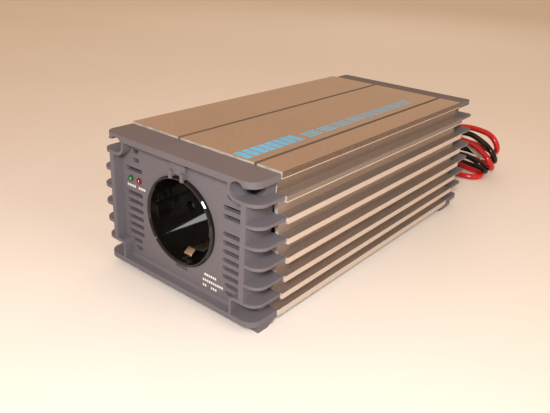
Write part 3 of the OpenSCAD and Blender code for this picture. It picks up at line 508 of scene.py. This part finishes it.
def anodised():
    """Champagne anodised extrusion: fine matt grain, drawn lines along its length, and bright cut ends."""
    m, nt, b = principled("anodised")
    tc, vec = coords(nt)
    _, along = coords(nt, (1, 0.012, 1))
    g = noise(nt, vec, 2600, 2.0, 0.65)
    g2 = noise(nt, vec, 900, 2.0, 0.6)
    lines = noise(nt, along, 1500, 3.0, 0.6)
    s = noise(nt, vec, 14, 2.0, 0.5)
    c = ramp(nt, g, [(0.32, (0.52, 0.41, 0.345)), (0.68, (0.70, 0.575, 0.49))])
    fins = ramp(nt, g, [(0.32, (0.42, 0.365, 0.335)), (0.68, (0.61, 0.535, 0.49))])
    pos = nt.nodes.new("ShaderNodeSeparateXYZ")
    nt.links.new(tc.outputs["Object"], pos.inputs["Vector"])
    # the band under the top lip, down to the first fin, is painted darker: painted shade in that recess
    painted_pocket_shade = math_node(nt, "MULTIPLY", math_node(nt, "GREATER_THAN", pos.outputs["Z"], 0.0623), math_node(nt, "LESS_THAN", pos.outputs["Z"], 0.0686))
    fins = mix(nt, painted_pocket_shade, fins, mix(nt, 1.0, fins, (0.72, 0.69, 0.66, 1), "MULTIPLY"))
    c = mix(nt, map_range(nt, pos.outputs["Z"], 0.0686, 0.0700, 0.0, 1.0), fins, c)
    c = mix(nt, 1.0, c, ramp(nt, g2, [(0.3, (0.94,) * 3), (0.7, (1.05,) * 3)]), "MULTIPLY")
    c = mix(nt, 1.0, c, ramp(nt, lines, [(0.3, (0.985,) * 3), (0.7, (1.015,) * 3)]), "MULTIPLY")
    c = mix(nt, 1.0, c, ramp(nt, s, [(0.3, (0.95, 0.95, 0.96)), (0.7, (1.03, 1.02, 1.0))]), "MULTIPLY")
    # cut ends face along Y
    sep = nt.nodes.new("ShaderNodeSeparateXYZ")
    nt.links.new(tc.outputs["Normal"], sep.inputs["Vector"])
    end = math_node(nt, "GREATER_THAN", math_node(nt, "ABSOLUTE", sep.outputs["Y"]), 0.35)
    saw = noise(nt, coords(nt, (0.08, 1, 1))[1], 2400, 2.0, 0.6)
    raw = ramp(nt, saw, [(0.3, (0.40, 0.36, 0.32)), (0.7, (0.86, 0.82, 0.78))])
    c = mix(nt, end, c, raw)
    # outer faces of the fin lips are painted light and shade by height: the lower lips are painted bright as a painted
    # reflection of the bright floor, and the first lip is painted dark as shade
    side = math_node(nt, "MULTIPLY", math_node(nt, "GREATER_THAN", math_node(nt, "ABSOLUTE", sep.outputs["X"]), 0.8),
                     math_node(nt, "GREATER_THAN", math_node(nt, "ABSOLUTE", pos.outputs["X"]), 0.0495))
    painted_lit_lips = ramp(nt, g, [(0.3, (0.58, 0.49, 0.42)), (0.7, (0.66, 0.57, 0.49))])
    painted_dark_upper_lip = ramp(nt, g, [(0.3, (0.21, 0.175, 0.15)), (0.7, (0.28, 0.235, 0.205))])
    # painted highlight: a thin bright line along the lower edge of the first lip
    painted_lip_edge_highlight = math_node(nt, "MULTIPLY", math_node(nt, "GREATER_THAN", pos.outputs["Z"], 0.0593), math_node(nt, "LESS_THAN", pos.outputs["Z"], 0.0598))
    painted_dark_upper_lip = mix(nt, painted_lip_edge_highlight, painted_dark_upper_lip, (0.80, 0.67, 0.55, 1))
    c = mix(nt, side, c, mix(nt, map_range(nt, pos.outputs["Z"], 0.0535, 0.0585, 0.0, 1.0), painted_lit_lips, painted_dark_upper_lip))
    # the side face of the top lip is painted dark as painted shade, with a thin bright line painted where the lower
    # edge of each lip catches the light (painted highlight)
    rim = math_node(nt, "MULTIPLY", math_node(nt, "GREATER_THAN", pos.outputs["Z"], 0.0687), math_node(nt, "LESS_THAN", pos.outputs["Z"], 0.0692))
    top_side_shade = math_node(nt, "MULTIPLY", math_node(nt, "GREATER_THAN", math_node(nt, "ABSOLUTE", sep.outputs["X"]), 0.6), math_node(nt, "GREATER_THAN", pos.outputs["Z"], 0.0684))
    c = mix(nt, top_side_shade, c, ramp(nt, g, [(0.38, (0.17, 0.13, 0.105)), (0.58, (0.26, 0.205, 0.165)), (0.72, (0.60, 0.51, 0.43))]))
    c = mix(nt, math_node(nt, "MULTIPLY", rim, top_side_shade), c, (0.86, 0.72, 0.58, 1))
    # the two grooves in the top, and a narrow band of the top beside each, are painted dark: painted shade in the
    # grooves
    left_groove = math_node(nt, "LESS_THAN", math_node(nt, "ABSOLUTE", math_node(nt, "ADD", pos.outputs["X"], 0.0134)), 0.00125)
    right_groove = math_node(nt, "LESS_THAN", math_node(nt, "ABSOLUTE", math_node(nt, "SUBTRACT", pos.outputs["X"], 0.0331)), 0.00125)
    painted_groove_shade = math_node(nt, "MULTIPLY", math_node(nt, "MAXIMUM", left_groove, right_groove),
                     math_node(nt, "MULTIPLY", math_node(nt, "GREATER_THAN", pos.outputs["Z"], 0.0705), math_node(nt, "LESS_THAN", pos.outputs["Z"], 0.0721)))
    painted_groove_shade = math_node(nt, "MULTIPLY", painted_groove_shade, math_node(nt, "SUBTRACT", 1.0, end))
    c = mix(nt, painted_groove_shade, c, ramp(nt, g, [(0.3, (0.17, 0.12, 0.092)), (0.7, (0.25, 0.182, 0.142))]))
    nt.links.new(c, b.inputs["Base Color"])
    matt = math_node(nt, "MAXIMUM", math_node(nt, "MULTIPLY", math_node(nt, "MAXIMUM", end, side), 0.6), math_node(nt, "MULTIPLY", painted_groove_shade, 0.75))
    matt = math_node(nt, "MAXIMUM", matt, map_range(nt, pos.outputs["Z"], 0.066, 0.070, 0.12, 0.0))
    nt.links.new(math_node(nt, "SUBTRACT", 1.0, matt), b.inputs["Metallic"])
    r = math_node(nt, "ADD", map_range(nt, g, 0.3, 0.7, 0.27, 0.38), map_range(nt, pos.outputs["Z"], 0.0686, 0.0700, 0.14, 0.0))
    nt.links.new(r, b.inputs["Roughness"])
    h = math_node(nt, "ADD", g, math_node(nt, "MULTIPLY", g2, 0.8))
    bump(nt, b, h, 0.22, 0.00005)
    return m


MAT = {}
MAT["anodised"] = anodised()
MAT["mill"] = surface("mill_aluminium", (0.62, 0.59, 0.56), 0.38, metal=0.9, grain=2000, stretch=(1, 0.03, 1), bump_s=0.1)
MAT["cap"] = surface("cap_plastic", (0.136, 0.125, 0.139), 0.58, grain=2600, grain_c=0.10, mottle=16, mottle_c=0.06, bump_s=0.30, bump_d=0.00005, spec=0.22)
nt = MAT["cap"].node_tree
b = nt.nodes["Principled BSDF"]
tc = nt.nodes.new("ShaderNodeTexCoord")
sep = nt.nodes.new("ShaderNodeSeparateXYZ")
nt.links.new(tc.outputs["Normal"], sep.inputs["Vector"])
where = nt.nodes.new("ShaderNodeSeparateXYZ")
nt.links.new(tc.outputs["Object"], where.inputs["Vector"])
# upward faces of the cap's top flange get a warmer tint: painted warm light from above
painted_warm_top_light = math_node(nt, "MULTIPLY", map_range(nt, sep.outputs["Z"], 0.3, 0.9, 0.0, 1.0), math_node(nt, "GREATER_THAN", where.outputs["Z"], 0.066))
plain = b.inputs["Base Color"].links[0].from_socket
nt.links.new(mix(nt, painted_warm_top_light, plain, mix(nt, 1.0, plain, (1.0, 0.90, 0.82, 1), "MULTIPLY")), b.inputs["Base Color"])
MAT["screw"] = surface("black_oxide", (0.03, 0.03, 0.032), 0.35, metal=0.8, grain=3000, bump_s=0.1)
MAT["gloss_black"] = surface("outlet_gloss", (0.006, 0.005, 0.0045), 0.05, grain=1200, grain_c=0.1, mottle=60, rough_var=0.015, bump_s=0.02, spec=0.5)
MAT["carrier"] = surface("carrier", (0.05, 0.05, 0.052), 0.5)
MAT["brass"] = surface("brass", (0.75, 0.52, 0.22), 0.25, metal=1.0, grain=2500, bump_s=0.05)
MAT["copper"] = surface("earth_copper", (0.80, 0.66, 0.55), 0.30, metal=1.0, grain=2600, stretch=(1, 0.1, 1), bump_s=0.08)
MAT["board"] = surface("solder_mask", (0.02, 0.12, 0.045), 0.3, mottle=300, mottle_c=0.25, grain=900, bump_s=0.2)
MAT["film"] = surface("film", (0.7, 0.66, 0.52), 0.4)
MAT["ferrite"] = surface("ferrite", (0.03, 0.03, 0.033), 0.7, grain=3000, bump_s=0.4)
MAT["tape"] = surface("winding_tape", (0.72, 0.48, 0.06), 0.25, grain=1200, stretch=(1, 1, 0.2), bump_s=0.15)
MAT["cap_sleeve"] = surface("capacitor_sleeve", (0.02, 0.05, 0.18), 0.22, grain=800, bump_s=0.05)
MAT["cap_dark"] = surface("capacitor_dark", (0.015, 0.018, 0.035), 0.22, grain=800, bump_s=0.05)
MAT["epoxy"] = surface("epoxy", (0.02, 0.02, 0.02), 0.55, grain=3500)
MAT["alu"] = surface("clamp_aluminium", (0.72, 0.72, 0.73), 0.35, metal=1.0, grain=2500, stretch=(1, 0.05, 1), bump_s=0.1)
MAT["pad"] = surface("thermal_pad", (0.35, 0.45, 0.5), 0.7)
MAT["choke"] = surface("powder_core", (0.7, 0.58, 0.04), 0.5, grain=2500, bump_s=0.3)
MAT["wire_copper"] = surface("enamelled", (0.5, 0.16, 0.05), 0.2, metal=0.7, grain=1500)
MAT["socket"] = surface("fuse_socket", (0.02, 0.02, 0.02), 0.5)
MAT["orange"] = surface("fuse_orange", (0.8, 0.18, 0.01), 0.25)
MAT["fan"] = surface("fan_plastic", (0.012, 0.012, 0.013), 0.42, grain=2500, bump_s=0.2)
MAT["switch"] = surface("switch_plastic", (0.012, 0.012, 0.012), 0.25, grain=2200, bump_s=0.08, coat=0.2)
MAT["tin"] = surface("tin", (0.72, 0.70, 0.67), 0.3, metal=1.0, grain=2600, bump_s=0.12)
MAT["red"] = surface("lead_red_pvc", (0.50, 0.008, 0.012), 0.26, grain=900, grain_c=0.05, mottle=35, mottle_c=0.07, bump_s=0.05, coat=0.25, coat_rough=0.15)
MAT["black"] = surface("lead_black_pvc", (0.0065, 0.0062, 0.0058), 0.25, grain=900, grain_c=0.08, mottle=35, mottle_c=0.1, bump_s=0.05, coat=0.06, coat_rough=0.15, spec=0.34)
MAT["brown"] = surface("wire_brown_pvc", (0.09, 0.03, 0.012), 0.35)
MAT["nylon"] = surface("natural_nylon", (0.72, 0.68, 0.60), 0.32, grain=1500, bump_s=0.08, coat=0.1)
MAT["vinyl_red"] = surface("vinyl_red", (0.55, 0.012, 0.012), 0.3, bump_s=0.05)
MAT["vinyl_black"] = surface("vinyl_black", (0.012, 0.012, 0.012), 0.3, bump_s=0.05)
MAT["rubber_red"] = surface("relief_red", (0.32, 0.010, 0.012), 0.5, bump_s=0.2)
MAT["rubber_black"] = surface("relief_black", (0.010, 0.010, 0.010), 0.5, bump_s=0.2)
MAT["buzzer"] = surface("buzzer", (0.012, 0.012, 0.012), 0.5)
MAT["print_blue"] = surface("print_blue", (0.115, 0.42, 0.66), 0.5, grain=2600, grain_c=0.12, mottle=60, mottle_c=0.06, bump_s=0.2)
MAT["print_white"] = surface("print_white", (0.75, 0.73, 0.70), 0.5, grain=3000, grain_c=0.1, bump_s=0.1)


def lens(name, colour):
    m, nt, b = principled(name)
    tc, vec = coords(nt)
    s = noise(nt, vec, 700, 2.0, 0.5)
    nt.links.new(ramp(nt, s, [(0.3, rgb(colour, 0.8)), (0.7, rgb(colour, 1.2))]), b.inputs["Base Color"])
    nt.links.new(map_range(nt, s, 0.3, 0.7, 0.08, 0.14), b.inputs["Roughness"])
    b.inputs["Transmission Weight"].default_value = 0.25
    b.inputs["Coat Weight"].default_value = 0.6
    b.inputs["IOR"].default_value = 1.5
    return m


MAT["led_green"] = lens("led_green_lens", (0.02, 0.13, 0.045))
MAT["led_red"] = lens("led_red_lens", (0.24, 0.008, 0.012))

FINISH = {
    "housing_shell": "anodised", "base_plate": "mill", "base_screws": "screw", "front_cap": "cap", "rear_cap": "cap",
    "front_cap_screws": "screw", "rear_cap_screws": "screw", "outlet_cup": "gloss_black", "outlet_carrier": "carrier",
    "outlet_contacts": "brass", "earth_clip": "copper", "outlet_rear_cover": "carrier", "led_green": "led_green",
    "led_red": "led_red", "led_board": "board", "main_board": "board", "board_insulator": "film",
    "transformer_cores": "ferrite", "transformer_windings": "tape", "input_capacitors": "cap_sleeve",
    "output_capacitor": "cap_dark", "transistors_left": "epoxy", "transistors_right": "epoxy", "clamp_bar_left": "alu",
    "clamp_bar_right": "alu", "clamp_screws": "screw", "thermal_pads": "pad", "choke_core": "choke",
    "choke_winding": "wire_copper", "fuse_sockets": "socket", "blade_fuses": "orange", "control_board": "board",
    "buzzer": "buzzer", "fan_frame": "fan", "fan_rotor": "fan", "fan_screws": "screw", "switch_body": "switch",
    "switch_rocker": "switch", "switch_terminals": "tin", "inner_wires_red": "red", "inner_wires_black": "black",
    "outlet_wires": "brown", "fan_wires": "red", "ring_terminal_red": "tin", "ring_terminal_black": "tin",
    "terminal_sleeve_red": "vinyl_red", "terminal_sleeve_black": "vinyl_black", "grommet_red": "rubber_red",
    "grommet_black": "rubber_black", "dc_lead_red": "red", "dc_lead_black": "black", "lead_hank": "red", "cable_tie": "nylon",
}
for name, o in nodes.items():
    o.data.materials.clear()
    o.data.materials.append(MAT[FINISH[name]])

# rounding of the moulded and extruded edges
ROUND = {"front_cap": 0.45, "rear_cap": 0.45, "housing_shell": 0.16, "base_plate": 0.2, "outlet_cup": 0.2, "earth_clip": 0.15,
         "front_cap_screws": 0.15, "rear_cap_screws": 0.15, "fan_frame": 0.3, "fan_rotor": 0.2, "fan_screws": 0.15,
         "switch_body": 0.35, "switch_rocker": 0.3, "base_screws": 0.1, "ring_terminal_red": 0.15, "ring_terminal_black": 0.15,
         "outlet_carrier": 0.3, "outlet_rear_cover": 0.3, "transformer_windings": 0.4, "transformer_cores": 0.3,
         "fuse_sockets": 0.2, "blade_fuses": 0.2}
for name, w in ROUND.items():
    o = nodes[name]
    m = o.modifiers.new("weld", "WELD")
    m.merge_threshold = 2e-6
    d = o.modifiers.new("flat", "DECIMATE")
    d.decimate_type = "DISSOLVE"
    d.angle_limit = math.radians(0.5)
    b = add_bevel(o, w * 0.001, 2, 32)
    b.use_clamp_overlap = True
    n = o.modifiers.new("normals", "WEIGHTED_NORMAL")
    n.keep_sharp = False
    n.weight = 80

for o, key in ((red_lead, "red"), (black_lead, "black"), (tie_loop, "nylon"), (tie_head, "nylon"), (tie_tail, "nylon"),
               (relief_red, "rubber_red"), (relief_black, "rubber_black"), (print_top, "print_blue"), (print_panel, "print_white")):
    o.data.materials.clear()
    o.data.materials.append(MAT[key])

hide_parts("dc_lead_red", "lead_hank")
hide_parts("dc_lead_black")
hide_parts("cable_tie")
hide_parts("grommet_red")
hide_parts("grommet_black")

# ---------------------------------------------------------------- floor
m, nt, b = principled("floor")
tc, vec = coords(nt)
s = noise(nt, vec, 3.0, 3.0, 0.5)
g = noise(nt, vec, 700, 2.0, 0.6)
c = ramp(nt, s, [(0.3, (0.80, 0.755, 0.70)), (0.7, (0.83, 0.785, 0.73))])
nt.links.new(c, b.inputs["Base Color"])
b.inputs["Roughness"].default_value = 0.55
bump(nt, b, g, 0.08, 0.0001)
me = bpy.data.meshes.new("floor")
me.from_pydata([(-5, -5, 0), (5, -5, 0), (5, 5, 0), (-5, 5, 0)], [], [(0, 1, 2, 3)])
floor = bpy.data.objects.new("floor", me)
scene.collection.objects.link(floor)
me.materials.append(m)

bpy.context.view_layer.update()
